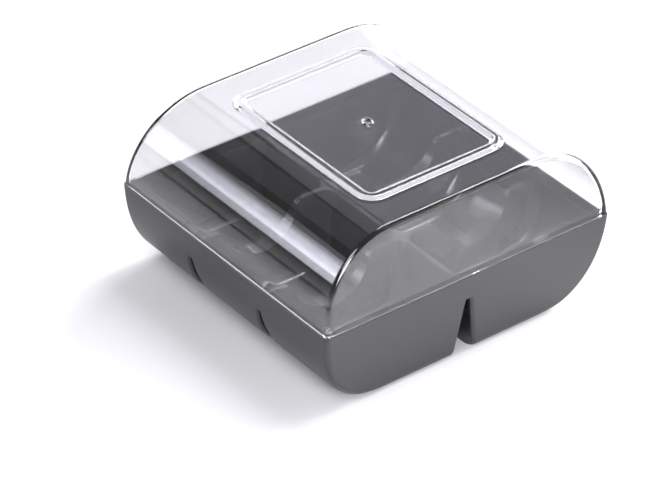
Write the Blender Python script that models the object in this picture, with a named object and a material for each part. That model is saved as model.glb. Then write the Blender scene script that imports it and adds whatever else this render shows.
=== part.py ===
"""Six-place confectionery box: dark moulded tray and a clear domed lid that lifts straight off.

Metres, +Z up, origin at the middle of the bottom. X runs across the two rounded sides and
Y runs between the two flat end walls.
"""

from math import atan2, cos, pi, radians, sin, sqrt, tan

import bmesh
import bpy
from mathutils import Vector

MM = 0.001

# Overall size
WIDTH = 104.0 * MM
DEPTH = 97.0 * MM
SEAM_Z = 28.5 * MM
LID_TOP_Z = 55.0 * MM
SEAM_GAP = 0.3 * MM

# Tray
TRAY_WALL = 1.2 * MM
RIM_WALL = 0.8 * MM
RIM_CORNER = 2.2 * MM
TRAY_ROUND = 22.8 * MM
TRAY_POWER = 2.3
TRAY_DRAFT = radians(3.8)
TRAY_EDGE_TOP = 1.6 * MM
TRAY_EDGE_BOTTOM = 3.0 * MM
CREST_Z = 24.2 * MM
CREST_HALF = 0.75 * MM
FOLD_ANGLE = radians(9.5)
ROW_Y = DEPTH / 6.0
COLUMN_X = 26.0 * MM
POCKET_WALL = 1.4 * MM
POCKET_EDGE = 3.0 * MM
POCKET_TOP_Z = CREST_Z + 0.4 * MM
GROOVE_TIP_Z = 20.0 * MM
GROOVE_TIP_HALF = 0.5 * MM
GROOVE_TIP_ROUND = 0.4 * MM
GROOVE_ANGLE = radians(8.5)
CROSS_GROOVE_DROP = 0.15 * MM
END_GROOVE_LIP = 1.5 * MM
SIDE_GROOVE_LIP = 1.0 * MM
DIP_RADIUS = 14.0 * MM
DIP_CENTRE_Z = 26.6 * MM
DIP_SHOULDER = 3.0 * MM
DIP_HALF_LENGTH = 30.0 * MM
DIP_TOP_Z = CREST_Z + 1.0 * MM
DIP_TOP_FLARE = 0.2 * MM

# Lid
LID_WALL = 1.2 * MM
LID_INSET = 0.3 * MM
LID_ROUND = 26.0 * MM
LID_POWER = 2.08
LID_SET_BACK = 3.9 * MM
LID_EDGE_BOTTOM = 1.4 * MM
LID_EDGE_TOP = 1.6 * MM
PLUG_DEPTH = 3.9 * MM
PLUG_WALL = 0.6 * MM
PLUG_SOFT = 0.2 * MM
PLUG_CLEARANCE = 0.3 * MM
PLUG_BLEND = 2.5 * MM
PLUG_TOP = 0.8 * MM
BEAD_HALF_X = 26.7 * MM
BEAD_HALF_Y = 33.7 * MM
BEAD_WIDTH = 4.8 * MM
BEAD_HEIGHT = 0.8 * MM
BEAD_CORNER = 6.5 * MM
BEAD_SHOULDER = 1.3 * MM
BEAD_SINK = 0.5 * MM
GATE_RADIUS = 1.9 * MM
GATE_HEIGHT = 0.45 * MM
GATE_SINK = 0.4 * MM
GATE_DIMPLE = 0.9 * MM
GATE_DIMPLE_LIFT = 0.1 * MM

# Mouth of a groove, as (distance in from the wall, widening each side) in lip lengths
GROOVE_FLARE = (
    (1.0, 0.0),
    (0.55, 0.11),
    (0.2, 0.4),
    (-0.04, 1.0),
    (-1.0, 1.35),
)

# Mesh fineness
SIDE_STEPS = 12
CORNER_STEPS = 5
DIP_STEPS = 14
GROOVE_STEPS = 4
MIN_CORNER = 0.25 * MM
LOWEST_SHARE = 0.96
CUT_OVERRUN = 1.0 * MM
STEEP_SLOPE = 0.05


def clear_scene():
    for item in list(bpy.data.objects):
        bpy.data.objects.remove(item, do_unlink=True)


def make_collection(name):
    group = bpy.data.collections.new(name)
    bpy.context.scene.collection.children.link(group)
    return group


def make_material(name, colour, roughness, alpha):
    material = bpy.data.materials.new(name)
    material.use_nodes = True
    shader = material.node_tree.nodes["Principled BSDF"]
    shader.inputs["Base Color"].default_value = (*colour, 1.0)
    shader.inputs["Roughness"].default_value = roughness
    shader.inputs["Metallic"].default_value = 0.0
    shader.inputs["Alpha"].default_value = alpha
    return material


def blend(start, end, amount):
    return start + (end - start) * amount


def edge_set_back(radius, above):
    """How far a rounded edge draws a wall in at a height above the flat it runs into."""
    if above >= radius:
        return 0.0
    return radius - sqrt(max(radius ** 2 - (radius - above) ** 2, 0.0))


def side_curve(outer, reach, rise, power, wall, steps):
    """Rounded side as (half width, distance from the seam, outward X slope) rows."""
    rows = []
    for step in range(steps + 1):
        angle = 0.5 * pi * step / steps
        across = cos(angle) ** (2.0 / power)
        along = sin(angle) ** (2.0 / power)
        if step == steps:
            across = 0.0
        normal = Vector((across ** (power - 1.0) / reach, along ** (power - 1.0) / rise))
        normal.normalize()
        half = outer - reach + reach * across - wall * normal.x
        rows.append((half, rise * along - wall * normal.y, normal.x))
    return rows


def side_reach(height):
    """Half width of the tray's rounded side at a height."""
    share = min(max(1.0 - height / SEAM_Z, 0.0), LOWEST_SHARE)
    return 0.5 * WIDTH - TRAY_ROUND + TRAY_ROUND * (1.0 - share ** TRAY_POWER) ** (1.0 / TRAY_POWER)


def rounded_ring(low, high, corner_x, corner_y, height):
    """Counter-clockwise ring of a rectangle; corner_x gives the left and right corner lengths."""
    ring = []
    corners = (
        (high.x, high.y, corner_x[1], 0.0),
        (low.x, high.y, corner_x[0], 0.5 * pi),
        (low.x, low.y, corner_x[0], pi),
        (high.x, low.y, corner_x[1], 1.5 * pi),
    )
    for edge_x, edge_y, reach_x, start in corners:
        turn_x = 1.0 if edge_x == high.x else -1.0
        turn_y = 1.0 if edge_y == high.y else -1.0
        centre_x = edge_x - turn_x * reach_x
        centre_y = edge_y - turn_y * corner_y
        for step in range(CORNER_STEPS + 1):
            angle = start + 0.5 * pi * step / CORNER_STEPS
            ring.append(Vector((centre_x + reach_x * cos(angle),
                                centre_y + corner_y * sin(angle), height)))
    return ring


def loft(name, rings, group, closed=False):
    """One closed body through rings of equal count; a closed loft joins its last ring to its first."""
    mesh = bpy.data.meshes.new(name)
    build = bmesh.new()
    rows = []
    for ring in rings:
        rows.append([build.verts.new(point) for point in ring])
    count = len(rows[0])
    spans = list(zip(rows, rows[1:]))
    if closed:
        spans.append((rows[-1], rows[0]))
    for first, second in spans:
        for index in range(count):
            after = (index + 1) % count
            build.faces.new((first[index], first[after], second[after], second[index]))
    if not closed:
        build.faces.new(rows[0])
        build.faces.new(rows[-1])
    bmesh.ops.recalc_face_normals(build, faces=build.faces)
    build.to_mesh(mesh)
    build.free()
    item = bpy.data.objects.new(name, mesh)
    group.objects.link(item)
    return item


def boolean(target, tool, operation):
    modifier = target.modifiers.new(operation.lower() + "_" + tool.name, "BOOLEAN")
    modifier.operation = operation
    modifier.solver = "EXACT"
    modifier.object = tool


def apply_modifiers(item):
    """Bake the modifier stack into the object's own mesh."""
    graph = bpy.context.evaluated_depsgraph_get()
    baked = bpy.data.meshes.new_from_object(item.evaluated_get(graph))
    item.modifiers.clear()
    item.data = baked


def shade(item, material):
    item.data.materials.clear()
    item.data.materials.append(material)
    item.data.shade_smooth()
    item.data.set_sharp_from_angle(angle=radians(32.0))


def tray_end_y(height):
    """Half depth of the tray's end wall at a height, before its bottom edge rounds in."""
    return 0.5 * DEPTH - (SEAM_Z - height) * tan(TRAY_DRAFT)


def tray_edge(height):
    """Radius of the tray's upright and bottom edges at a height."""
    return blend(TRAY_EDGE_BOTTOM, TRAY_EDGE_TOP, height / SEAM_Z)


def end_reach(height):
    """Half depth of the tray's end wall at a height, with its rounded bottom edge."""
    above = max(height, 0.0)
    return tray_end_y(above) - edge_set_back(tray_edge(above), above)


def lid_end_y(height):
    """Half depth of the lid's end wall at a height, before its top edge rounds in."""
    share = (height - SEAM_Z) / (LID_TOP_Z - SEAM_Z)
    return 0.5 * DEPTH - LID_INSET - LID_SET_BACK * share


def shell_ring(half, height, slope, end_y, edge, from_flat, flat_half):
    """Horizontal ring of a box whose sides curve in and whose edges round over."""
    drawn = edge_set_back(edge, from_flat)
    corner_y = max(edge - drawn, MIN_CORNER)
    room = max(half - flat_half, 0.0) + MIN_CORNER
    corner_x = max(min(edge / max(slope, STEEP_SLOPE), room), MIN_CORNER)
    corner_x = max(corner_x, min(edge, room))
    half_y = end_y - drawn
    return rounded_ring(Vector((-half, -half_y)), Vector((half, half_y)),
                        (corner_x, corner_x), corner_y, height)


def tray_outside():
    rings = []
    flat_half = 0.5 * WIDTH - TRAY_ROUND
    for half, drop, slope in side_curve(0.5 * WIDTH, TRAY_ROUND, SEAM_Z, TRAY_POWER, 0.0, SIDE_STEPS):
        height = SEAM_Z - drop
        rim = min(height, SEAM_Z - 0.5 * SEAM_GAP)
        rings.append(shell_ring(half, rim, slope, tray_end_y(height), tray_edge(height),
                                height, flat_half))
    return rings


def rim_recess():
    rings = []
    for height in (CREST_Z, SEAM_Z, SEAM_Z + CUT_OVERRUN):
        half_x = side_reach(height) - RIM_WALL
        half_y = tray_end_y(min(height, SEAM_Z)) - RIM_WALL
        rings.append(rounded_ring(Vector((-half_x, -half_y)), Vector((half_x, half_y)),
                                  (RIM_CORNER, RIM_CORNER), RIM_CORNER, height))
    return rings


def fold_half(height):
    """Half thickness of a divider at a height, outside faces."""
    return CREST_HALF + (CREST_Z - height) * tan(FOLD_ANGLE)


def pocket_rings(row):
    """Right-hand pocket of one row: the middle row lies between folds, the others by an end wall."""
    rings = []
    flat_half = 0.5 * WIDTH - TRAY_ROUND
    levels = [(side_reach(POCKET_TOP_Z) - POCKET_WALL, POCKET_TOP_Z, 1.0)]
    curve = side_curve(0.5 * WIDTH, TRAY_ROUND, SEAM_Z, TRAY_POWER, POCKET_WALL, SIDE_STEPS)
    for half, drop, slope in curve:
        height = SEAM_Z - drop
        if height < POCKET_TOP_Z - CUT_OVERRUN:
            levels.append((half, height, slope))
    floor = levels[-1][1]
    for half, height, slope in levels:
        drawn = edge_set_back(POCKET_EDGE, height - floor)
        low_x = fold_half(height) + drawn
        if row == 0:
            low_y = -ROW_Y + fold_half(height) + drawn
            high_y = ROW_Y - fold_half(height) - drawn
        else:
            low_y = ROW_Y + fold_half(height) + drawn
            high_y = tray_end_y(height) - POCKET_WALL - drawn
        corner_y = max(POCKET_EDGE - drawn, MIN_CORNER)
        room = max(half - flat_half, 0.0) + MIN_CORNER
        far_corner = max(min(POCKET_EDGE / max(slope, STEEP_SLOPE), room), MIN_CORNER)
        if row < 0:
            low_y, high_y = -high_y, -low_y
        rings.append(rounded_ring(Vector((low_x, low_y)), Vector((half, high_y)),
                                  (corner_y, far_corner), corner_y, height))
    return rings


def mirrored_x(rings):
    return [[Vector((-point.x, point.y, point.z)) for point in ring] for ring in rings]


def groove_outline(tip_z):
    """Cross-section of the hollow under a fold as (half width, height) rows from bottom to tip."""
    heights = [-CUT_OVERRUN] + [share * TRAY_EDGE_BOTTOM for share in (0.0, 0.12, 0.4, 1.0)]
    for step in range(1, GROOVE_STEPS + 1):
        heights.append(blend(TRAY_EDGE_BOTTOM, tip_z, step / GROOVE_STEPS))
    rows = [(GROOVE_TIP_HALF + (tip_z - height) * tan(GROOVE_ANGLE), height) for height in heights]
    rows.append((0.5 * GROOVE_TIP_HALF, tip_z + GROOVE_TIP_ROUND))
    return rows


def groove_stations(tip_z, reach_at, lip):
    """Stations along a groove: a parallel run, then a flare that rounds its mouth at the wall."""
    outline = groove_outline(tip_z)
    stations = []
    for inward, widen in GROOVE_FLARE:
        ring = []
        for side in (1.0, -1.0):
            rows = outline if side > 0.0 else outline[::-1]
            for half, height in rows:
                along = reach_at(height) - inward * lip
                ring.append((along, side * (half + widen * lip), height))
        stations.append(ring)
    beyond = 0.5 * WIDTH + 3.0 * CUT_OVERRUN
    stations.append([(beyond, off, height) for along, off, height in stations[-1]])
    return stations


def groove_rings(axis, centre, reach_at):
    """Whole groove through the box along X or Y at a centre line."""
    if axis == "Y":
        half_run = groove_stations(GROOVE_TIP_Z, reach_at, END_GROOVE_LIP)
    else:
        half_run = groove_stations(GROOVE_TIP_Z - CROSS_GROOVE_DROP, reach_at, SIDE_GROOVE_LIP)
    rings = []
    for sign, run in ((-1.0, half_run[::-1]), (1.0, half_run)):
        for ring in run:
            points = []
            for along, off, height in ring:
                if axis == "X":
                    points.append(Vector((sign * along, centre + off, height)))
                else:
                    points.append(Vector((centre + off, sign * along, height)))
            rings.append(points)
    return rings


def dip_profile(radius, shoulder):
    """Round saddle cut in a fold: (offset, height) from the left top to the right top."""
    centre_gap = DIP_CENTRE_Z - (CREST_Z - shoulder)
    shoulder_x = sqrt((radius + shoulder) ** 2 - centre_gap ** 2)
    lean = atan2(centre_gap, shoulder_x)
    right = []
    for step in range(DIP_STEPS + 1):
        angle = blend(-0.5 * pi, -lean, step / DIP_STEPS)
        right.append((radius * cos(angle), DIP_CENTRE_Z + radius * sin(angle)))
    shoulder_steps = DIP_STEPS // 3
    for step in range(1, shoulder_steps + 1):
        angle = blend(pi - lean, 0.5 * pi, step / shoulder_steps)
        right.append((shoulder_x + shoulder * cos(angle), CREST_Z - shoulder + shoulder * sin(angle)))
    right.append((right[-1][0] + DIP_TOP_FLARE, DIP_TOP_Z))
    left = [(-offset, height) for offset, height in right[:0:-1]]
    return left + right


def dip_rings(centre, profile):
    rings = []
    for end in (-DIP_HALF_LENGTH, DIP_HALF_LENGTH):
        rings.append([Vector((centre + offset, end, height)) for offset, height in profile])
    return rings


def build_tray(group, tools):
    tray = loft("tray", tray_outside(), group)
    cutters = [loft("rim_recess", rim_recess(), tools)]
    for row in (-1, 0, 1):
        rings = pocket_rings(row)
        cutters.append(loft(f"pocket_right_{row + 1}", rings, tools))
        cutters.append(loft(f"pocket_left_{row + 1}", mirrored_x(rings), tools))
    for side in (-1.0, 1.0):
        centre = side * COLUMN_X
        profile = dip_profile(DIP_RADIUS, DIP_SHOULDER)
        label = "left" if side < 0.0 else "right"
        cutters.append(loft(f"dip_{label}", dip_rings(centre, profile), tools))
    keepers = []
    for side in (-1.0, 1.0):
        radius = DIP_RADIUS + TRAY_WALL
        centre = side * COLUMN_X
        profile = []
        for step in range(2 * DIP_STEPS):
            angle = pi * step / DIP_STEPS
            profile.append((radius * cos(angle), DIP_CENTRE_Z + radius * sin(angle)))
        label = "left" if side < 0.0 else "right"
        keepers.append(loft(f"dip_wall_{label}", dip_rings(centre, profile), tools))
    cutters.append(loft("groove_long", groove_rings("Y", 0.0, end_reach), tools))
    for side in (-1.0, 1.0):
        label = "front" if side < 0.0 else "back"
        groove = loft(f"groove_{label}", groove_rings("X", side * ROW_Y, side_reach), tools)
        for keeper in keepers:
            boolean(groove, keeper, "DIFFERENCE")
        cutters.append(groove)
    for cutter in cutters:
        boolean(tray, cutter, "DIFFERENCE")
    apply_modifiers(tray)
    return tray


def lid_rings():
    """Inside of the dome, down round the plug, then up the outside of the dome."""
    outer = 0.5 * WIDTH - LID_INSET
    rise = LID_TOP_Z - SEAM_Z
    flat_half = outer - LID_ROUND
    shoulder_z = SEAM_Z + 0.5 * SEAM_GAP
    plug_outer = RIM_WALL + PLUG_CLEARANCE
    outside = []
    for half, climb, slope in side_curve(outer, LID_ROUND, rise, LID_POWER, 0.0, SIDE_STEPS):
        height = max(SEAM_Z + climb, shoulder_z)
        edge = blend(LID_EDGE_BOTTOM, LID_EDGE_TOP, climb / rise)
        outside.append(shell_ring(half, height, slope, lid_end_y(height), edge,
                                  rise - climb, flat_half))
    inside = []
    for half, climb, slope in side_curve(outer, LID_ROUND, rise, LID_POWER, LID_WALL, SIDE_STEPS):
        if climb < PLUG_BLEND:
            continue
        edge = blend(LID_EDGE_BOTTOM, LID_EDGE_TOP, climb / rise) - 0.5 * LID_WALL
        inside.append(shell_ring(half, SEAM_Z + climb, slope, lid_end_y(SEAM_Z + climb) - LID_WALL,
                                 edge, rise - LID_WALL - climb, flat_half))
    plug_inner = plug_outer + PLUG_WALL
    bottom_z = SEAM_Z - PLUG_DEPTH
    plug = []
    for inset, height in (
        (plug_inner, shoulder_z + PLUG_TOP),
        (plug_inner, bottom_z + PLUG_SOFT),
        (plug_inner - PLUG_SOFT, bottom_z),
        (plug_outer + PLUG_SOFT, bottom_z),
        (plug_outer, bottom_z + PLUG_SOFT),
        (plug_outer, shoulder_z),
    ):
        half_y = tray_end_y(min(height, SEAM_Z)) - inset
        half_x = side_reach(height) - inset
        reach = RIM_CORNER - 0.5 * (inset - RIM_WALL)
        plug.append(rounded_ring(Vector((-half_x, -half_y)), Vector((half_x, half_y)),
                                 (reach, reach), reach, height))
    return inside[::-1] + plug + outside


def bead_rings():
    """Closed run of rings round the raised frame on the lid."""
    sink = LID_TOP_Z - BEAD_SINK
    top = LID_TOP_Z + BEAD_HEIGHT
    mid = LID_TOP_Z + 0.45 * BEAD_HEIGHT
    rows = (
        (0.0, sink),
        (0.0, LID_TOP_Z),
        (0.25 * BEAD_SHOULDER, mid),
        (BEAD_SHOULDER, top),
        (BEAD_WIDTH - BEAD_SHOULDER, top),
        (BEAD_WIDTH - 0.25 * BEAD_SHOULDER, mid),
        (BEAD_WIDTH, LID_TOP_Z),
        (BEAD_WIDTH, sink),
    )
    rings = []
    for inset, height in rows:
        half = Vector((BEAD_HALF_X - inset, BEAD_HALF_Y - inset))
        corner = BEAD_CORNER - inset
        rings.append(rounded_ring(-half, half, (corner, corner), corner, height))
    return rings


def disc(name, radius, low, high, group):
    mesh = bpy.data.meshes.new(name)
    build = bmesh.new()
    bmesh.ops.create_cone(build, cap_ends=True, segments=20, radius1=radius, radius2=radius,
                          depth=high - low)
    build.to_mesh(mesh)
    build.free()
    item = bpy.data.objects.new(name, mesh)
    item.location.z = 0.5 * (low + high)
    group.objects.link(item)
    return item


def build_lid(group, tools):
    lid = loft("lid", lid_rings(), group)
    bead = loft("lid_bead", bead_rings(), tools, closed=True)
    gate = disc("gate_mark", GATE_RADIUS, LID_TOP_Z - GATE_SINK, LID_TOP_Z + GATE_HEIGHT, tools)
    dimple = disc("gate_dimple", GATE_DIMPLE, LID_TOP_Z + GATE_DIMPLE_LIFT, LID_TOP_Z + CUT_OVERRUN,
                  tools)
    boolean(lid, bead, "UNION")
    boolean(lid, gate, "UNION")
    boolean(lid, dimple, "DIFFERENCE")
    apply_modifiers(lid)
    return lid


def main():
    clear_scene()
    parts = make_collection("confectionery_box")
    tools = make_collection("cutters")
    charcoal = make_material("charcoal_polystyrene", (0.055, 0.055, 0.06), 0.28, 1.0)
    crystal = make_material("crystal_polystyrene", (0.93, 0.94, 0.95), 0.05, 0.3)
    tray = build_tray(parts, tools)
    lid = build_lid(parts, tools)
    shade(tray, charcoal)
    shade(lid, crystal)
    for cutter in tools.objects:
        cutter.hide_render = True
        cutter.display_type = "WIRE"


main()
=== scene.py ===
"""Looks of the confectionery box: moulded clear and charcoal plastic in soft studio light."""

from math import atan2, cos, pi, radians, sin, sqrt, tan

import bmesh
import bpy
from mathutils import Matrix, Vector


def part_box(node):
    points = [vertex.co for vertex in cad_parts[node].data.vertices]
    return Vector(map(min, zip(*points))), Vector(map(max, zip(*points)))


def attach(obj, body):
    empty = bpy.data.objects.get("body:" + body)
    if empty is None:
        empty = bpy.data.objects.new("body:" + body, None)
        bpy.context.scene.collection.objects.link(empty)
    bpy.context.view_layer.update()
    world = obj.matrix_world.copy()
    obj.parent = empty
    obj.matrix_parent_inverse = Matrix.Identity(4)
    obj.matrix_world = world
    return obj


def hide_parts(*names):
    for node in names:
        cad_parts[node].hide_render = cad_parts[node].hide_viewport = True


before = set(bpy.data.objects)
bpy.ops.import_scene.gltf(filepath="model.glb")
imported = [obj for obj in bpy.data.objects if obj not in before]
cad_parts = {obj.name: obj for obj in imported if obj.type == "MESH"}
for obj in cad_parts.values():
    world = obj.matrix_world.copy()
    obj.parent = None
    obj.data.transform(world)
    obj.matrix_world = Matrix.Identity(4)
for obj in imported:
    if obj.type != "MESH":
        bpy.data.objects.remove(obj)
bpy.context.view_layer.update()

MM = 0.001

# Sizes that come from the frame
TRAY_LOW, TRAY_HIGH = [Vector(corner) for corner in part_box("tray")]
LID_LOW, LID_HIGH = [Vector(corner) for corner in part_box("lid")]
WIDTH = TRAY_HIGH.x - TRAY_LOW.x
DEPTH = TRAY_HIGH.y - TRAY_LOW.y
LID_WIDTH = LID_HIGH.x - LID_LOW.x
LID_DEPTH = LID_HIGH.y - LID_LOW.y
SEAM_GAP = 0.3 * MM
RIM_TOP = TRAY_HIGH.z
SEAM_Z = RIM_TOP + 0.5 * SEAM_GAP
BEAD_HEIGHT = 0.8 * MM
LID_TOP_Z = LID_HIGH.z - BEAD_HEIGHT

# Tray
TRAY_WALL = 1.2 * MM
POCKET_WALL = 1.4 * MM
RIM_WALL = 0.8 * MM
RIM_CORNER = 2.2 * MM
TRAY_ROUND = 22.8 * MM
TRAY_POWER = 2.3
TRAY_DRAFT = radians(3.8)
TRAY_EDGE_TOP = 1.6 * MM
TRAY_EDGE_BOTTOM = 3.0 * MM
CREST_Z = SEAM_Z - 4.3 * MM
CREST_HALF = 0.75 * MM
FOLD_ANGLE = radians(9.5)
ROW_Y = DEPTH / 6.0
COLUMN_X = WIDTH / 4.0
POCKET_EDGE = 3.0 * MM
POCKET_ABOVE_CREST = 0.4 * MM
GROOVE_TIP_Z = 20.0 * MM
GROOVE_TIP_HALF = 0.5 * MM
GROOVE_TIP_ROUND = 0.42 * MM
GROOVE_ANGLE = radians(8.5)
CROSS_GROOVE_DROP = 0.15 * MM
END_GROOVE_LIP = 1.5 * MM
SIDE_GROOVE_LIP = 1.0 * MM
DIP_RADIUS = 14.0 * MM
DIP_CENTRE_Z = CREST_Z + 2.4 * MM
DIP_SHOULDER = 3.0 * MM
DIP_HALF_LENGTH = 30.0 * MM
TRAY_SOFTENING = 0.36 * MM
TRAY_SOFTENING_ANGLE = radians(38.0)

# Lid
LID_WALL = 1.2 * MM
LID_ROUND = 26.0 * MM
LID_POWER = 2.08
LID_SET_BACK = 3.9 * MM
LID_EDGE_BOTTOM = 1.4 * MM
LID_EDGE_TOP = 1.6 * MM
PLUG_DEPTH = SEAM_Z - LID_LOW.z
PLUG_WALL = 0.6 * MM
PLUG_SOFT = 0.2 * MM
PLUG_CLEARANCE = 0.3 * MM
PLUG_BLEND = 2.5 * MM
BEAD_HALF_X = 26.7 * MM
BEAD_HALF_Y = 33.7 * MM
BEAD_WIDTH = 4.8 * MM
BEAD_CORNER = 6.5 * MM
BEAD_CREST = 0.7 * MM
BEAD_FOOT = 0.05 * MM
GATE_RADIUS = 1.9 * MM
GATE_HEIGHT = 0.45 * MM
GATE_SHOULDER = 0.55
GATE_DIMPLE = 0.25

# Mesh fineness
SIDE_STEPS = 40
CORNER_STEPS = 12
DIP_STEPS = 30
GROOVE_STEPS = 12
EDGE_ROWS = 7
BEAD_STEPS = 18
MIN_CORNER = 0.2 * MM
MIN_SLOPE = 0.05
LOWEST_SHARE = 0.96
FLARE_STEPS = 7
GATE_STEPS = 8
GATE_TURNS = 40
PLUG_STEPS = 7
SHARP_ANGLE = 35.0

# Materials
SATIN_COLOURS = ((0.024, 0.024, 0.0252), (0.029, 0.029, 0.0303))
# Darker copy of the charcoal for the tray's inside: painted shade over the tray's hollow
INSIDE_SHADE_COLOURS = ((0.016, 0.0155, 0.0164), (0.019, 0.0185, 0.0196))
SATIN_ROUGHNESS = (0.36, 0.46)
POLISH = 0.365
SATIN_BUMP = 0.08
POLISHED_BUMP = 0.01
CLEAR_ROUGHNESS = (0.018, 0.026)
FLOOR_NEAR = ((0.90, 0.90, 0.91), (0.92, 0.92, 0.925))
# Painted shade on the floor: greyer behind, to the right and far out
FLOOR_SHADE_BEHIND = (0.50, 0.50, 0.504)
FLOOR_SHADE_FAR = (0.30, 0.30, 0.31)
SKIN = 0.6 * MM
FOOT_LEAN = 0.45

# Camera and studio
VIEW_AZIMUTH = radians(38.82)
VIEW_ELEVATION = radians(35.01)
VIEW_ROLL = radians(1.26)
VIEW_DISTANCE = 1.1556
VIEW_LENS = 223.2
VIEW_TARGET = Vector((-0.0213, -0.0084, 0.026))
STUDIO_CENTRE = Vector((0.0, 0.0, 0.02))
STUDIO_RADIUS = 1.5
PLAIN = (1.0, 0.99, 1.03)
VIOLET = (1.0, 0.95, 1.1)
COOL = (0.92, 0.94, 1.06)
STRIP_GLOW = 9.7
STRIP_LOW = Vector((-0.647, 0.53, 0.224))
STRIP_HIGH = Vector((-0.484, 0.56, 0.562))
STRIP_LENGTH = 0.36
STRIP_RISE = ((0.0, 0.45), (0.24, 0.5), (0.32, 1.0), (0.62, 0.7), (1.0, 0.25))
SWEEP_LEVEL = 0.6
ROOM_LEVEL = 0.15
RIGHT_WALL_LEVEL = 1.1
FLOOR_HALF = 6.0
FLOOR_TOP = -0.0002
FLOOR_UNDER = -0.0502
EDGE_BAR_PLACE = Vector((0.77, 0.1, 1.24))
EDGE_BAR_AIM = Vector((-0.77, 0.0, -1.22))

# Soft boxes: name, bearing from +Y towards +X, height (degrees), size (m), power (W), colour
SMALL_BOX = (0.66, 0.54)
HIGH_BOX = (0.60, 0.57)
LOW_BOX = (1.12, 0.5)
SOFT_BOXES = (
    ("key", 97.0, 28.0, SMALL_BOX, 19.0, PLAIN),
    ("low_right", 106.0, 12.0, (1.0, 0.5), 10.0, PLAIN),
    ("key_far", 72.0, 28.0, SMALL_BOX, 21.0, PLAIN),
    ("key_near", 129.0, 31.0, SMALL_BOX, 1.5, PLAIN),
    ("front_fill", 207.0, 31.0, SMALL_BOX, 14.5, PLAIN),
    ("high_fill", 229.0, 54.0, HIGH_BOX, 5.6, PLAIN),
    ("low_back_right", 65.0, 10.0, LOW_BOX, 4.0, PLAIN),
    ("low_back", 24.0, 10.0, LOW_BOX, 6.5, PLAIN),
    ("low_front_right", 158.0, 10.0, LOW_BOX, 2.2, PLAIN),
    ("panel_veil", 39.0, 31.0, SMALL_BOX, 0.8, VIOLET),
    ("high_back", 29.0, 54.0, HIGH_BOX, 0.4, PLAIN),
    ("left_back", 309.0, 31.0, SMALL_BOX, 0.6, PLAIN),
    ("left_far", 349.0, 54.0, HIGH_BOX, 0.15, PLAIN),
)


# ---------------------------------------------------------------- shapes

def blend(start, end, amount):
    return start + (end - start) * amount


def edge_set_back(radius, above):
    """How far a rounded edge draws a wall in at a height above the flat it runs into."""
    if above >= radius:
        return 0.0
    return radius - sqrt(max(radius ** 2 - (radius - above) ** 2, 0.0))


def side_curve(outer, reach, rise, power, wall, steps):
    """Rounded side as (half width, distance from the seam, outward X slope) rows."""
    rows = []
    for step in range(steps + 1):
        angle = 0.5 * pi * step / steps
        across = cos(angle) ** (2.0 / power)
        along = sin(angle) ** (2.0 / power)
        if step == steps:
            across = 0.0
        normal = Vector((across ** (power - 1.0) / reach, along ** (power - 1.0) / rise))
        normal.normalize()
        half = outer - reach + reach * across - wall * normal.x
        rows.append((half, rise * along - wall * normal.y, normal.x))
    return rows


def side_reach(height):
    """Half width of the tray's rounded side at a height."""
    share = min(max(1.0 - height / SEAM_Z, 0.0), LOWEST_SHARE)
    curve = (1.0 - share ** TRAY_POWER) ** (1.0 / TRAY_POWER)
    return 0.5 * WIDTH - TRAY_ROUND + TRAY_ROUND * curve


def rounded_ring(low, high, corner_x, corner_y, height):
    """Counter-clockwise ring of a rectangle; corner_x has the left and right corner lengths."""
    ring = []
    corners = (
        (high.x, high.y, corner_x[1], 0.0),
        (low.x, high.y, corner_x[0], 0.5 * pi),
        (low.x, low.y, corner_x[0], pi),
        (high.x, low.y, corner_x[1], 1.5 * pi),
    )
    for edge_x, edge_y, reach_x, start in corners:
        centre_x = edge_x - reach_x if edge_x == high.x else edge_x + reach_x
        centre_y = edge_y - corner_y if edge_y == high.y else edge_y + corner_y
        for step in range(CORNER_STEPS + 1):
            angle = start + 0.5 * pi * step / CORNER_STEPS
            ring.append(Vector((centre_x + reach_x * cos(angle),
                                centre_y + corner_y * sin(angle), height)))
    return ring


def loft(name, rings, closed=False):
    """One closed body through equal rings; a closed loft joins its last ring to its first."""
    mesh = bpy.data.meshes.new(name)
    build = bmesh.new()
    rows = [[build.verts.new(point) for point in ring] for ring in rings]
    count = len(rows[0])
    spans = list(zip(rows, rows[1:]))
    if closed:
        spans.append((rows[-1], rows[0]))
    for first, second in spans:
        for index in range(count):
            after = (index + 1) % count
            build.faces.new((first[index], first[after], second[after], second[index]))
    if not closed:
        build.faces.new(rows[0])
        build.faces.new(rows[-1])
    bmesh.ops.recalc_face_normals(build, faces=build.faces)
    build.to_mesh(mesh)
    build.free()
    piece = bpy.data.objects.new(name, mesh)
    bpy.context.scene.collection.objects.link(piece)
    return piece


def boolean(target, tool, operation):
    modifier = target.modifiers.new(operation.lower() + "_" + tool.name, "BOOLEAN")
    modifier.operation = operation
    modifier.solver = "EXACT"
    modifier.object = tool


def apply_modifiers(piece):
    """Bake the modifier stack into the piece's own mesh."""
    graph = bpy.context.evaluated_depsgraph_get()
    baked = bpy.data.meshes.new_from_object(piece.evaluated_get(graph))
    piece.modifiers.clear()
    piece.data = baked


def remove_all(tools):
    for tool in tools:
        bpy.data.objects.remove(tool, do_unlink=True)


def tray_end_y(height):
    """Half depth of the tray's end wall at a height, before its bottom edge rounds in."""
    return 0.5 * DEPTH - (SEAM_Z - height) * tan(TRAY_DRAFT)


def tray_edge(height):
    """Radius of the tray's upright and bottom edges at a height."""
    return blend(TRAY_EDGE_BOTTOM, TRAY_EDGE_TOP, height / SEAM_Z)


def end_reach(height):
    """Half depth of the tray's end wall at a height, with its rounded bottom edge."""
    above = max(height, 0.0)
    return tray_end_y(above) - edge_set_back(tray_edge(above), above)


def lid_end_y(height):
    """Half depth of the lid's end wall at a height, before its top edge rounds in."""
    share = (height - SEAM_Z) / (LID_TOP_Z - SEAM_Z)
    return 0.5 * LID_DEPTH - LID_SET_BACK * share


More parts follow.
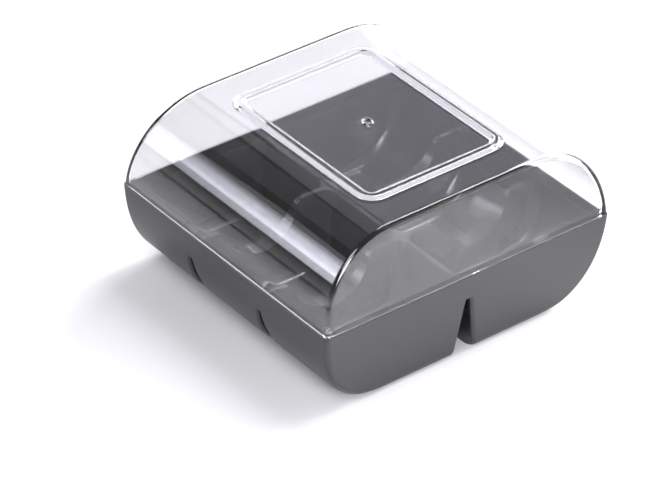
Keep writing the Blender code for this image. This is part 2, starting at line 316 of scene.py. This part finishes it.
def shell_ring(half, height, slope, end_y, edge, from_flat, flat_half):
    """Horizontal ring of a box whose sides curve in and whose edges round over."""
    drawn = edge_set_back(edge, from_flat)
    corner_y = max(edge - drawn, MIN_CORNER)
    room = max(half - flat_half, 0.0) + MIN_CORNER
    corner_x = max(min(edge / max(slope, MIN_SLOPE), room), MIN_CORNER)
    half_y = end_y - drawn
    return rounded_ring(Vector((-half, -half_y)), Vector((half, half_y)),
                        (corner_x, corner_x), corner_y, height)


# ---------------------------------------------------------------- tray

def tray_outside():
    rings = []
    flat_half = 0.5 * WIDTH - TRAY_ROUND
    curve = side_curve(0.5 * WIDTH, TRAY_ROUND, SEAM_Z, TRAY_POWER, 0.0, SIDE_STEPS)
    for half, drop, slope in curve:
        height = SEAM_Z - drop
        rings.append(shell_ring(half, min(height, RIM_TOP), slope, tray_end_y(height),
                                tray_edge(height), height, flat_half))
    return rings


def rim_recess():
    rings = []
    for height in (CREST_Z, SEAM_Z, SEAM_Z + MM):
        half_x = side_reach(height) - RIM_WALL
        half_y = tray_end_y(min(height, SEAM_Z)) - RIM_WALL
        rings.append(rounded_ring(Vector((-half_x, -half_y)), Vector((half_x, half_y)),
                                  (RIM_CORNER, RIM_CORNER), RIM_CORNER, height))
    return rings


def fold_half(height):
    """Half thickness of a fold at a height."""
    return CREST_HALF + (CREST_Z - height) * tan(FOLD_ANGLE)


def pocket_rings(row):
    """Right-hand pocket of a row: row 0 lies between folds, rows -1 and 1 by an end wall."""
    top = CREST_Z + POCKET_ABOVE_CREST
    flat_half = 0.5 * WIDTH - TRAY_ROUND
    levels = [(side_reach(top) - POCKET_WALL, top, 1.0)]
    curve = side_curve(0.5 * WIDTH, TRAY_ROUND, SEAM_Z, TRAY_POWER, POCKET_WALL, SIDE_STEPS)
    for half, drop, slope in curve:
        if SEAM_Z - drop < top - 0.5 * MM:
            levels.append((half, SEAM_Z - drop, slope))
    floor = levels[-1][1]
    rings = []
    for half, height, slope in levels:
        drawn = edge_set_back(POCKET_EDGE, height - floor)
        low_x = fold_half(height) + drawn
        if row == 0:
            low_y = -ROW_Y + fold_half(height) + drawn
            high_y = ROW_Y - fold_half(height) - drawn
        else:
            low_y = ROW_Y + fold_half(height) + drawn
            high_y = tray_end_y(height) - POCKET_WALL - drawn
        corner_y = max(POCKET_EDGE - drawn, MIN_CORNER)
        room = max(half - flat_half, 0.0) + MIN_CORNER
        far_corner = max(min(POCKET_EDGE / max(slope, MIN_SLOPE), room), MIN_CORNER)
        if row < 0:
            low_y, high_y = -high_y, -low_y
        rings.append(rounded_ring(Vector((low_x, low_y)), Vector((half, high_y)),
                                  (corner_y, far_corner), corner_y, height))
    return rings


def mirrored_x(rings):
    return [[Vector((-point.x, point.y, point.z)) for point in ring] for ring in rings]


def groove_outline(tip_z):
    """Cross-section of the hollow under a fold: (half width, height) rows from bottom to tip."""
    heights = [-MM]
    for step in range(EDGE_ROWS):
        heights.append(TRAY_EDGE_BOTTOM * (step / EDGE_ROWS) ** 2)
    for step in range(GROOVE_STEPS + 1):
        heights.append(blend(TRAY_EDGE_BOTTOM, tip_z, step / GROOVE_STEPS))
    rows = [(GROOVE_TIP_HALF + (tip_z - height) * tan(GROOVE_ANGLE), height)
            for height in heights]
    rows.append((0.87 * GROOVE_TIP_HALF, tip_z + 0.6 * GROOVE_TIP_ROUND))
    rows.append((0.5 * GROOVE_TIP_HALF, tip_z + GROOVE_TIP_ROUND))
    return rows


def groove_stations(tip_z, reach_at, lip):
    """Stations along a groove: a parallel run, then a flare that rounds its mouth at the wall."""
    outline = groove_outline(tip_z)
    turns = [0.5 * pi * step / FLARE_STEPS for step in range(FLARE_STEPS)]
    flare = [(1.0 - sin(turn), 1.0 - cos(turn)) for turn in turns]
    stations = []
    for inward, widen in flare + [(-0.04, 1.0), (-1.0, 1.35)]:
        ring = []
        for side in (1.0, -1.0):
            rows = outline if side > 0.0 else outline[::-1]
            for half, height in rows:
                along = reach_at(height) - inward * lip
                ring.append((along, side * (half + widen * lip), height))
        stations.append(ring)
    beyond = 0.5 * WIDTH + 3.0 * MM
    stations.append([(beyond, off, height) for along, off, height in stations[-1]])
    return stations


def groove_rings(axis, centre, reach_at):
    """Whole groove through the box along X or Y at a centre line."""
    if axis == "Y":
        half_run = groove_stations(GROOVE_TIP_Z, reach_at, END_GROOVE_LIP)
    else:
        half_run = groove_stations(GROOVE_TIP_Z - CROSS_GROOVE_DROP, reach_at, SIDE_GROOVE_LIP)
    rings = []
    for sign, run in ((-1.0, half_run[::-1]), (1.0, half_run)):
        for ring in run:
            if axis == "X":
                rings.append([Vector((sign * along, centre + off, height))
                              for along, off, height in ring])
            else:
                rings.append([Vector((centre + off, sign * along, height))
                              for along, off, height in ring])
    return rings


def dip_profile(radius, shoulder, top):
    """Round saddle cut in a fold: (offset, height) from the left top to the right top."""
    centre_gap = DIP_CENTRE_Z - (CREST_Z - shoulder)
    shoulder_x = sqrt((radius + shoulder) ** 2 - centre_gap ** 2)
    lean = atan2(centre_gap, shoulder_x)
    right = []
    for step in range(DIP_STEPS + 1):
        angle = blend(-0.5 * pi, -lean, step / DIP_STEPS)
        right.append((radius * cos(angle), DIP_CENTRE_Z + radius * sin(angle)))
    shoulder_steps = DIP_STEPS // 3
    for step in range(1, shoulder_steps + 1):
        angle = blend(pi - lean, 0.5 * pi, step / shoulder_steps)
        right.append((shoulder_x + shoulder * cos(angle),
                      CREST_Z - shoulder + shoulder * sin(angle)))
    right.append((right[-1][0] + 0.2 * MM, top))
    left = [(-offset, height) for offset, height in right[:0:-1]]
    return left + right


def dip_rings(centre, profile):
    rings = []
    for end in (-DIP_HALF_LENGTH, DIP_HALF_LENGTH):
        rings.append([Vector((centre + offset, end, height)) for offset, height in profile])
    return rings


def make_tray():
    tray = loft("moulded_tray", tray_outside())
    cutters = [loft("rim_recess", rim_recess())]
    for row in (-1, 0, 1):
        rings = pocket_rings(row)
        cutters.append(loft(f"pocket_right_{row + 1}", rings))
        cutters.append(loft(f"pocket_left_{row + 1}", mirrored_x(rings)))
    keepers = []
    for label, side in (("left", -1.0), ("right", 1.0)):
        centre = side * COLUMN_X
        profile = dip_profile(DIP_RADIUS, DIP_SHOULDER, CREST_Z + MM)
        cutters.append(loft(f"dip_{label}", dip_rings(centre, profile)))
        radius = DIP_RADIUS + TRAY_WALL
        turn = [pi * step / DIP_STEPS for step in range(2 * DIP_STEPS)]
        profile = [(radius * cos(angle), DIP_CENTRE_Z + radius * sin(angle)) for angle in turn]
        keepers.append(loft(f"dip_wall_{label}", dip_rings(centre, profile)))
    cutters.append(loft("groove_long", groove_rings("Y", 0.0, end_reach)))
    for label, side in (("front", -1.0), ("back", 1.0)):
        groove = loft(f"groove_{label}", groove_rings("X", side * ROW_Y, side_reach))
        for keeper in keepers:
            boolean(groove, keeper, "DIFFERENCE")
        cutters.append(groove)
    for cutter in cutters:
        boolean(tray, cutter, "DIFFERENCE")
    soften = tray.modifiers.new("soften_edges", "BEVEL")
    soften.width = TRAY_SOFTENING
    soften.segments = 3
    soften.limit_method = "ANGLE"
    soften.angle_limit = TRAY_SOFTENING_ANGLE
    soften.miter_outer = "MITER_ARC"
    soften.use_clamp_overlap = True
    soften.harden_normals = True
    apply_modifiers(tray)
    remove_all(cutters + keepers)
    return tray


# ---------------------------------------------------------------- lid

def lid_rings():
    """Inside of the dome, down round the plug, then up the outside of the dome."""
    outer = 0.5 * LID_WIDTH
    rise = LID_TOP_Z - SEAM_Z
    flat_half = outer - LID_ROUND
    shoulder_z = SEAM_Z + 0.5 * SEAM_GAP
    plug_outer = RIM_WALL + PLUG_CLEARANCE
    outside = []
    for half, climb, slope in side_curve(outer, LID_ROUND, rise, LID_POWER, 0.0, SIDE_STEPS):
        height = max(SEAM_Z + climb, shoulder_z)
        edge = blend(LID_EDGE_BOTTOM, LID_EDGE_TOP, climb / rise)
        outside.append(shell_ring(half, height, slope, lid_end_y(height), edge,
                                  rise - climb, flat_half))
    inside = []
    for half, climb, slope in side_curve(outer, LID_ROUND, rise, LID_POWER, LID_WALL, SIDE_STEPS):
        if climb < PLUG_BLEND:
            continue
        edge = blend(LID_EDGE_BOTTOM, LID_EDGE_TOP, climb / rise) - 0.5 * LID_WALL
        height = SEAM_Z + climb
        inside.append(shell_ring(half, height, slope, lid_end_y(height) - LID_WALL, edge,
                                 rise - LID_WALL - climb, flat_half))
    bottom_z = SEAM_Z - PLUG_DEPTH
    inner = plug_outer + PLUG_WALL
    plug_rows = [(inner, shoulder_z + 0.8 * MM), (inner, bottom_z + PLUG_SOFT)]
    for step in range(1, PLUG_STEPS):
        angle = pi * step / PLUG_STEPS
        plug_rows.append((blend(plug_outer, inner, 0.5 + 0.5 * cos(angle)),
                          bottom_z + PLUG_SOFT - PLUG_SOFT * sin(angle)))
    plug_rows += [(plug_outer, bottom_z + PLUG_SOFT), (plug_outer, shoulder_z)]
    plug = []
    for inset, height in plug_rows:
        half_y = tray_end_y(min(height, SEAM_Z)) - inset
        half_x = side_reach(height) - inset
        reach = RIM_CORNER - 0.5 * (inset - RIM_WALL)
        plug.append(rounded_ring(Vector((-half_x, -half_y)), Vector((half_x, half_y)),
                                 (reach, reach), reach, height))
    return inside[::-1] + plug + outside


def bead_rings():
    """Closed run of rings round the raised frame on the lid: a flat crest between soft flanks."""
    sink = LID_TOP_Z - 0.5 * MM
    climb = []
    for step in range(BEAD_STEPS + 1):
        share = step / BEAD_STEPS
        height = blend(LID_TOP_Z - BEAD_FOOT, LID_TOP_Z + BEAD_HEIGHT,
                       0.5 - 0.5 * cos(pi * share))
        climb.append((0.5 * (BEAD_WIDTH - BEAD_CREST) * share, height))
    fall = [(BEAD_WIDTH - inset, height) for inset, height in climb[::-1]]
    rows = [(0.0, sink)] + climb + fall + [(BEAD_WIDTH, sink)]
    rings = []
    for inset, height in rows:
        half = Vector((BEAD_HALF_X - inset, BEAD_HALF_Y - inset))
        corner = BEAD_CORNER - inset
        rings.append(rounded_ring(-half, half, (corner, corner), corner, height))
    return rings


def gate_rings():
    """The moulding gate's round scar: a low ring with a dimple, closed below the surface."""
    rows = [(GATE_RADIUS, LID_TOP_Z - 0.4 * MM)]
    for step in range(GATE_STEPS + 1):
        share = step / GATE_STEPS
        rows.append((GATE_RADIUS * (1.0 - GATE_SHOULDER * share),
                     LID_TOP_Z + GATE_HEIGHT * sin(pi * share) ** 0.7))
    rows.append((GATE_DIMPLE * GATE_RADIUS, LID_TOP_Z + 0.05 * MM))
    turns = [2.0 * pi * step / GATE_TURNS for step in range(GATE_TURNS)]
    return [[Vector((radius * cos(turn), radius * sin(turn), height)) for turn in turns]
            for radius, height in rows]


def make_lid():
    lid = loft("clear_lid", lid_rings())
    bead = loft("frame_bead", bead_rings(), closed=True)
    gate = loft("gate_scar", gate_rings())
    boolean(lid, bead, "UNION")
    boolean(lid, gate, "UNION")
    apply_modifiers(lid)
    remove_all([bead, gate])
    return lid


# ---------------------------------------------------------------- materials

def new_material(name):
    material = bpy.data.materials.new(name)
    material.use_nodes = True
    tree = material.node_tree
    return material, tree, tree.nodes["Principled BSDF"]


def add_node(tree, kind, **settings):
    node = tree.nodes.new(kind)
    for key, value in settings.items():
        setattr(node, key, value)
    return node


def noise(tree, scale, detail, roughness=0.5):
    place = add_node(tree, "ShaderNodeTexCoord")
    node = add_node(tree, "ShaderNodeTexNoise")
    node.inputs["Scale"].default_value = scale
    node.inputs["Detail"].default_value = detail
    node.inputs["Roughness"].default_value = roughness
    tree.links.new(place.outputs["Object"], node.inputs["Vector"])
    return node


def ramp(tree, source, low, high, start, end):
    """Map a 0 to 1 source onto a range of values."""
    node = add_node(tree, "ShaderNodeMapRange")
    node.inputs["From Min"].default_value = start
    node.inputs["From Max"].default_value = end
    node.inputs["To Min"].default_value = low
    node.inputs["To Max"].default_value = high
    tree.links.new(source, node.inputs["Value"])
    return node.outputs["Result"]


def maths(tree, operation, first, second=0.0, third=0.0):
    """One maths node; each input is a socket or a plain number."""
    node = add_node(tree, "ShaderNodeMath", operation=operation)
    for slot, value in zip(node.inputs, (first, second, third)):
        if isinstance(value, float):
            slot.default_value = value
        else:
            tree.links.new(value, slot)
    return node.outputs[0]


def tray_core_side(tree):
    """1 on the tray's inside (glossy polish, and colour painted darker as shade), 0 on its satin
    outside, from the tray's own curves.
    """
    place = add_node(tree, "ShaderNodeTexCoord")
    split = add_node(tree, "ShaderNodeSeparateXYZ")
    tree.links.new(place.outputs["Object"], split.inputs["Vector"])
    height = split.outputs["Z"]
    flat_half = 0.5 * WIDTH - TRAY_ROUND
    along = maths(tree, "SUBTRACT", maths(tree, "ABSOLUTE", split.outputs["X"]), flat_half)
    along = maths(tree, "DIVIDE", maths(tree, "MAXIMUM", along), TRAY_ROUND - SKIN)
    drop = maths(tree, "DIVIDE", maths(tree, "SUBTRACT", SEAM_Z, height), SEAM_Z - SKIN)
    drop = maths(tree, "MAXIMUM", drop)
    reach = maths(tree, "ADD", maths(tree, "POWER", along, TRAY_POWER),
                  maths(tree, "POWER", drop, TRAY_POWER))
    in_sides = maths(tree, "LESS_THAN", reach, 1.0)
    end = maths(tree, "MULTIPLY_ADD", height, tan(TRAY_DRAFT), tray_end_y(0.0) - SKIN)
    foot = maths(tree, "MAXIMUM", maths(tree, "SUBTRACT", TRAY_EDGE_BOTTOM, height))
    end = maths(tree, "SUBTRACT", end, maths(tree, "MULTIPLY", foot, FOOT_LEAN))
    in_ends = maths(tree, "LESS_THAN", maths(tree, "ABSOLUTE", split.outputs["Y"]), end)
    return maths(tree, "MULTIPLY", in_sides, in_ends)


def mixed_colour(tree, factor, first, second):
    """Blend of two colours; each is a socket or three plain numbers."""
    mix = add_node(tree, "ShaderNodeMix", data_type="RGBA")
    tree.links.new(factor, mix.inputs["Factor"])
    for name, value in (("A", first), ("B", second)):
        if isinstance(value, tuple):
            mix.inputs[name].default_value = (*value, 1.0)
        else:
            tree.links.new(value, mix.inputs[name])
    return mix.outputs["Result"]


def charcoal_plastic():
    """Dark injection-moulded polystyrene: satin outside with a faint grain, glossy polish inside,
    where the colour is painted darker as shade.
    """
    material, tree, shader = new_material("charcoal_polystyrene")
    cloud = noise(tree, 35.0, 3.0).outputs["Fac"]
    grain = noise(tree, 5200.0, 2.0).outputs["Fac"]
    inside = tray_core_side(tree)
    satin = mixed_colour(tree, cloud, *SATIN_COLOURS)
    # Painted shade: the tray's inside gets a darker copy of the charcoal colour
    shaded_inside_colour = mixed_colour(tree, cloud, *INSIDE_SHADE_COLOURS)
    tree.links.new(mixed_colour(tree, inside, satin, shaded_inside_colour), shader.inputs["Base Color"])
    dullness = ramp(tree, grain, *SATIN_ROUGHNESS, 0.3, 0.7)
    dullness = maths(tree, "MULTIPLY_ADD", inside, -POLISH, dullness)
    tree.links.new(dullness, shader.inputs["Roughness"])
    bump = add_node(tree, "ShaderNodeBump")
    bump.inputs["Distance"].default_value = 0.00002
    strength = maths(tree, "MULTIPLY_ADD", inside, POLISHED_BUMP - SATIN_BUMP, SATIN_BUMP)
    tree.links.new(strength, bump.inputs["Strength"])
    tree.links.new(grain, bump.inputs["Height"])
    tree.links.new(bump.outputs["Normal"], shader.inputs["Normal"])
    shader.inputs["IOR"].default_value = 1.5
    return material


def crystal_plastic():
    """Clear polystyrene with a slight moulded waviness; it lets the lamps' light through."""
    material, tree, shader = new_material("crystal_polystyrene")
    shader.inputs["Base Color"].default_value = (0.93, 0.93, 0.935, 1.0)
    shader.inputs["Transmission Weight"].default_value = 1.0
    shader.inputs["IOR"].default_value = 1.59
    wave = noise(tree, 60.0, 2.0)
    specks = noise(tree, 900.0, 3.0)
    dullness = ramp(tree, specks.outputs["Fac"], *CLEAR_ROUGHNESS, 0.3, 0.8)
    tree.links.new(dullness, shader.inputs["Roughness"])
    bump = add_node(tree, "ShaderNodeBump")
    bump.inputs["Strength"].default_value = 0.1
    bump.inputs["Distance"].default_value = 0.0001
    tree.links.new(wave.outputs["Fac"], bump.inputs["Height"])
    tree.links.new(bump.outputs["Normal"], shader.inputs["Normal"])
    output = tree.nodes["Material Output"]
    passing = add_node(tree, "ShaderNodeBsdfTransparent")
    passing.inputs["Color"].default_value = (0.92, 0.92, 0.93, 1.0)
    rays = add_node(tree, "ShaderNodeLightPath")
    mix = add_node(tree, "ShaderNodeMixShader")
    tree.links.new(rays.outputs["Is Shadow Ray"], mix.inputs["Fac"])
    tree.links.new(shader.outputs["BSDF"], mix.inputs[1])
    tree.links.new(passing.outputs["BSDF"], mix.inputs[2])
    tree.links.new(mix.outputs["Shader"], output.inputs["Surface"])
    return material


def floor_paint():
    """Matte paper, palest in front and to the left; greyer behind, to the right and far out as
    painted shade, standing in for less light falling there.
    """
    material, tree, shader = new_material("pale_floor")
    tone = noise(tree, 4.0, 2.0)
    near = mixed_colour(tree, tone.outputs["Fac"], *FLOOR_NEAR)
    place = add_node(tree, "ShaderNodeTexCoord")
    split = add_node(tree, "ShaderNodeSeparateXYZ")
    tree.links.new(place.outputs["Object"], split.inputs["Vector"])
    # Painted shade: greyer behind and to the right, then greyer still with distance
    aside = maths(tree, "MAXIMUM", ramp(tree, split.outputs["Y"], 0.0, 1.0, -0.06, 0.12),
                  ramp(tree, split.outputs["X"], 0.0, 1.0, 0.055, 0.1))
    behind = mixed_colour(tree, aside, near, FLOOR_SHADE_BEHIND)
    span = add_node(tree, "ShaderNodeVectorMath", operation="LENGTH")
    tree.links.new(place.outputs["Object"], span.inputs[0])
    distance = ramp(tree, span.outputs["Value"], 0.0, 1.0, 0.2, 1.1)
    far = mixed_colour(tree, distance, behind, FLOOR_SHADE_FAR)
    tree.links.new(far, shader.inputs["Base Color"])
    shader.inputs["Roughness"].default_value = 0.8
    shader.inputs["Specular IOR Level"].default_value = 0.1
    return material


def finish_piece(piece, material, sharp):
    piece.data.materials.clear()
    piece.data.materials.append(material)
    piece.data.shade_smooth()
    piece.data.set_sharp_from_angle(angle=radians(sharp))
    even = piece.modifiers.new("even_shading", "WEIGHTED_NORMAL")
    even.weight = 100
    even.keep_sharp = True


# ---------------------------------------------------------------- studio

def look_at(item, place, target, roll=0.0):
    toward = (target - place).normalized()
    turn = toward.to_track_quat("-Z", "Y").to_matrix().to_4x4()
    item.matrix_world = Matrix.Translation(place) @ turn @ Matrix.Rotation(roll, 4, "Z")


def add_camera():
    camera = bpy.data.objects.new("camera", bpy.data.cameras.new("camera"))
    bpy.context.scene.collection.objects.link(camera)
    camera.data.lens = VIEW_LENS
    camera.data.sensor_width = 36.0
    toward = Vector((sin(VIEW_AZIMUTH) * cos(VIEW_ELEVATION),
                     cos(VIEW_AZIMUTH) * cos(VIEW_ELEVATION), -sin(VIEW_ELEVATION)))
    look_at(camera, VIEW_TARGET - toward * VIEW_DISTANCE, VIEW_TARGET, VIEW_ROLL)
    bpy.context.scene.camera = camera


def add_lamp(name, place, turn, width, height, power, colour):
    lamp = bpy.data.objects.new(name, bpy.data.lights.new(name, "AREA"))
    lamp.data.shape = "RECTANGLE"
    lamp.data.size = width
    lamp.data.size_y = height
    lamp.data.energy = power
    lamp.data.color = colour
    bpy.context.scene.collection.objects.link(lamp)
    lamp.matrix_world = Matrix.Translation(place) @ turn


def add_soft_box(name, bearing, height, width, tall, power, colour):
    """Soft box on a sphere round the object; the bearing turns from +Y towards +X, in degrees."""
    around = radians(bearing)
    up = radians(height)
    toward = Vector((sin(around) * cos(up), cos(around) * cos(up), sin(up)))
    turn = (-toward).to_track_quat("-Z", "Y").to_matrix().to_4x4()
    place = STUDIO_CENTRE + toward * STUDIO_RADIUS
    add_lamp(name, place, turn, width, tall, power, colour)


def glow(strength, colour):
    """Front of a soft box: brightest low down at one end, dimmer along its length and upwards."""
    material = bpy.data.materials.new("soft_box_glow")
    material.use_nodes = True
    tree = material.node_tree
    tree.nodes.clear()
    place = add_node(tree, "ShaderNodeTexCoord")
    split = add_node(tree, "ShaderNodeSeparateXYZ")
    tree.links.new(place.outputs["Object"], split.inputs["Vector"])
    length = ramp(tree, split.outputs["X"], 1.0, 0.5, -0.27, 0.17)
    rise = add_node(tree, "ShaderNodeValToRGB")
    rise.color_ramp.interpolation = "EASE"
    marks = rise.color_ramp.elements
    while len(marks) < len(STRIP_RISE):
        marks.new(1.0)
    for mark, (stop, tone) in zip(marks, STRIP_RISE):
        mark.position = stop
        mark.color = (tone, tone, tone, 1.0)
    tree.links.new(ramp(tree, split.outputs["Y"], 0.0, 1.0, -0.5, 0.5), rise.inputs["Fac"])
    level = maths(tree, "MULTIPLY", length, rise.outputs["Color"])
    power = maths(tree, "MULTIPLY", level, strength)
    light = add_node(tree, "ShaderNodeEmission")
    light.inputs["Color"].default_value = (*colour, 1.0)
    tree.links.new(power, light.inputs["Strength"])
    output = add_node(tree, "ShaderNodeOutputMaterial")
    tree.links.new(light.outputs["Emission"], output.inputs["Surface"])
    return material


def panel_mesh(name):
    """Unit square in its own X and Y, one thin sheet."""
    mesh = bpy.data.meshes.new(name)
    build = bmesh.new()
    square = ((-0.5, -0.5), (0.5, -0.5), (0.5, 0.5), (-0.5, 0.5))
    build.faces.new([build.verts.new((x, y, 0.0)) for x, y in square])
    build.to_mesh(mesh)
    build.free()
    panel = bpy.data.objects.new(name, mesh)
    bpy.context.scene.collection.objects.link(panel)
    return panel


def add_side_strip():
    """Long soft box at the back left whose image lies along the lid's rounded side."""
    centre = 0.5 * (STRIP_LOW + STRIP_HIGH)
    tall = (STRIP_HIGH - STRIP_LOW).length
    up = (STRIP_HIGH - STRIP_LOW).normalized()
    along = Vector((0.0, 1.0, 0.0))
    up = (up - along * up.y).normalized()
    facing = along.cross(up).normalized()
    panel = panel_mesh("side_strip")
    size = Matrix.Diagonal((STRIP_LENGTH, tall, 1.0, 1.0))
    turn = Matrix((along, up, facing)).transposed().to_4x4()
    panel.matrix_world = Matrix.Translation(centre) @ turn @ size
    panel.data.materials.append(glow(STRIP_GLOW, COOL))
    panel.visible_camera = False


def build_world():
    """Dim room, paler low down all round and palest low down on the right."""
    world = bpy.data.worlds.new("studio")
    bpy.context.scene.world = world
    world.use_nodes = True
    tree = world.node_tree
    sky = tree.nodes["Background"]
    place = add_node(tree, "ShaderNodeTexCoord")
    split = add_node(tree, "ShaderNodeSeparateXYZ")
    tree.links.new(place.outputs["Generated"], split.inputs["Vector"])
    low = ramp(tree, split.outputs["Z"], SWEEP_LEVEL, ROOM_LEVEL, 0.04, 0.22)
    wall = ramp(tree, split.outputs["Z"], RIGHT_WALL_LEVEL, 0.0, 0.12, 0.36)
    wall = maths(tree, "MULTIPLY", wall, ramp(tree, split.outputs["X"], 0.0, 1.0, -0.1, 0.3))
    level = maths(tree, "ADD", low, wall)
    sky.inputs["Color"].default_value = (0.97, 0.97, 1.0, 1.0)
    tree.links.new(level, sky.inputs["Strength"])


def build_studio():
    corners = ((-FLOOR_HALF, -FLOOR_HALF), (FLOOR_HALF, -FLOOR_HALF),
               (FLOOR_HALF, FLOOR_HALF), (-FLOOR_HALF, FLOOR_HALF))
    levels = (FLOOR_UNDER, FLOOR_TOP)
    floor = loft("floor", [[Vector((x, y, z)) for x, y in corners] for z in levels])
    finish_piece(floor, floor_paint(), 30.0)
    for name, bearing, height, size, power, colour in SOFT_BOXES:
        add_soft_box(name, bearing, height, *size, power, colour)
    down = EDGE_BAR_AIM.to_track_quat("-Z", "Y").to_matrix().to_4x4()
    add_lamp("edge_bar", EDGE_BAR_PLACE, down, 0.28, 1.0, 11.5, PLAIN)
    add_side_strip()
    build_world()


def main():
    add_camera()
    tray = make_tray()
    lid = make_lid()
    finish_piece(tray, charcoal_plastic(), SHARP_ANGLE)
    finish_piece(lid, crystal_plastic(), SHARP_ANGLE)
    for piece, node in ((tray, "tray"), (lid, "lid")):
        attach(piece, node)
        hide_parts(node)
    build_studio()
    bpy.context.scene.view_settings.view_transform = "Standard"


main()
